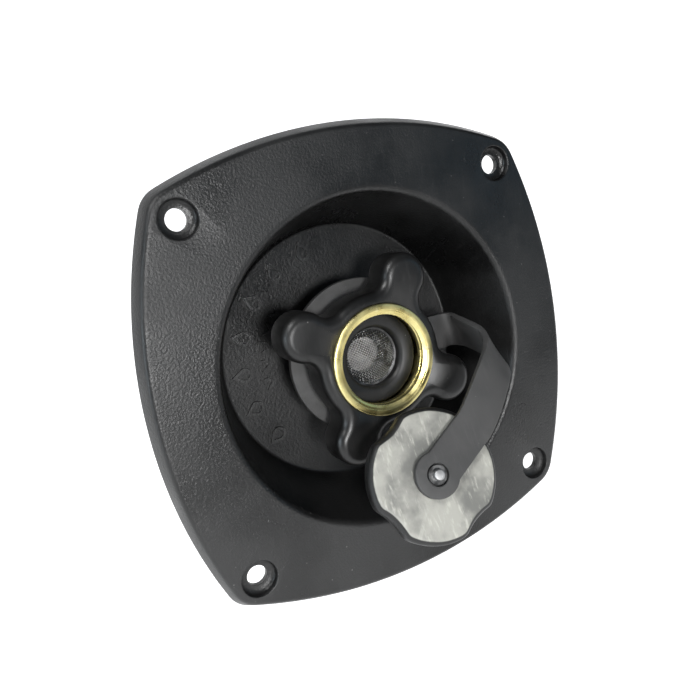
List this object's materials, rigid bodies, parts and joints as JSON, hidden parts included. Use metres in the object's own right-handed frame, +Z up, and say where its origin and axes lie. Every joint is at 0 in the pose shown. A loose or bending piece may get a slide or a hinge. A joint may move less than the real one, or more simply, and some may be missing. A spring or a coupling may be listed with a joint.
{
  "type": "recessed water inlet",
  "caption": "Recessed flush-mount hose inlet for a boat's water system: swivel knob with brass hose thread, tethered plug, check valve and pressure regulator behind the wall.",
  "frame": {"origin": "centre of the flange's back face, where it meets the wall", "axes": "+Y into the wall along the inlet axis, +Z up, outside of the wall towards -Y"},
  "size_m": [0.1272, 0.1029, 0.1272],
  "materials": {
    "black_housing": "satin moulded, fine grain",
    "black_knob": "satin",
    "brass": "machined",
    "washer_rubber": "matte",
    "steel": "drawn",
    "neck_plastic": "satin",
    "black_rubber": "matte",
    "white_plastic": "satin",
    "regulator_plastic": "satin moulded",
    "plug_plastic": "worn satin",
    "stud_steel": "dull",
    "strap_plastic": "matte"
  },
  "bodies": {
    "fixed": {"housing": "black_housing", "hose_washer": "washer_rubber", "strainer_rim": "steel", "strainer_mesh": "steel", "inlet_neck": "neck_plastic", "neck_gasket": "black_rubber", "lock_washer": "neck_plastic", "lock_nut": "neck_plastic", "valve_seat": "black_rubber", "valve_cage": "white_plastic", "valve_spring": "steel", "regulator_body": "regulator_plastic", "regulator_spring": "steel", "regulator_cover": "regulator_plastic", "cover_o_ring": "black_rubber", "cover_screws": "steel"},
    "knob": {"swivel_knob": "black_knob", "brass_insert": "brass"},
    "strap": {"tether_strap": "strap_plastic"},
    "plug": {"plug_cap": "plug_plastic", "plug_washer": "black_rubber", "plug_stud": "stud_steel", "stud_washer": "stud_steel"},
    "poppet": {"valve_poppet": "white_plastic", "poppet_o_ring": "black_rubber"},
    "piston": {"regulator_piston": "white_plastic", "seal_pad": "black_rubber", "stem_o_ring": "black_rubber", "head_o_ring": "black_rubber"}
  },
  "joints": [
    {"name": "knob_swivel", "type": "hinge", "parent": "fixed", "child": "knob", "pos_m": [0, 0, 0], "axis": [0, 1, 0], "continuous": true},
    {"name": "strap_turn", "type": "hinge", "parent": "fixed", "child": "strap", "pos_m": [0, 0.0095, 0], "axis": [0, 1, 0], "continuous": true},
    {"name": "plug_turn", "type": "hinge", "parent": "strap", "child": "plug", "pos_m": [-0.00006, -0.021, -0.0287], "axis": [-0.115, -0.9297, 0.3499], "continuous": true},
    {"name": "poppet_slide", "type": "slide", "parent": "fixed", "child": "poppet", "axis": [0, 1, 0], "range_m": [0, 0.0025], "stiffness_N_per_m": 80, "springref_m": -0.002, "deforming": ["valve_spring"]},
    {"name": "piston_slide", "type": "slide", "parent": "fixed", "child": "piston", "axis": [0, 1, 0], "range_m": [-0.0012, 0], "stiffness_N_per_m": 4000, "springref_m": 0.004, "deforming": ["regulator_spring"]}
  ]
}
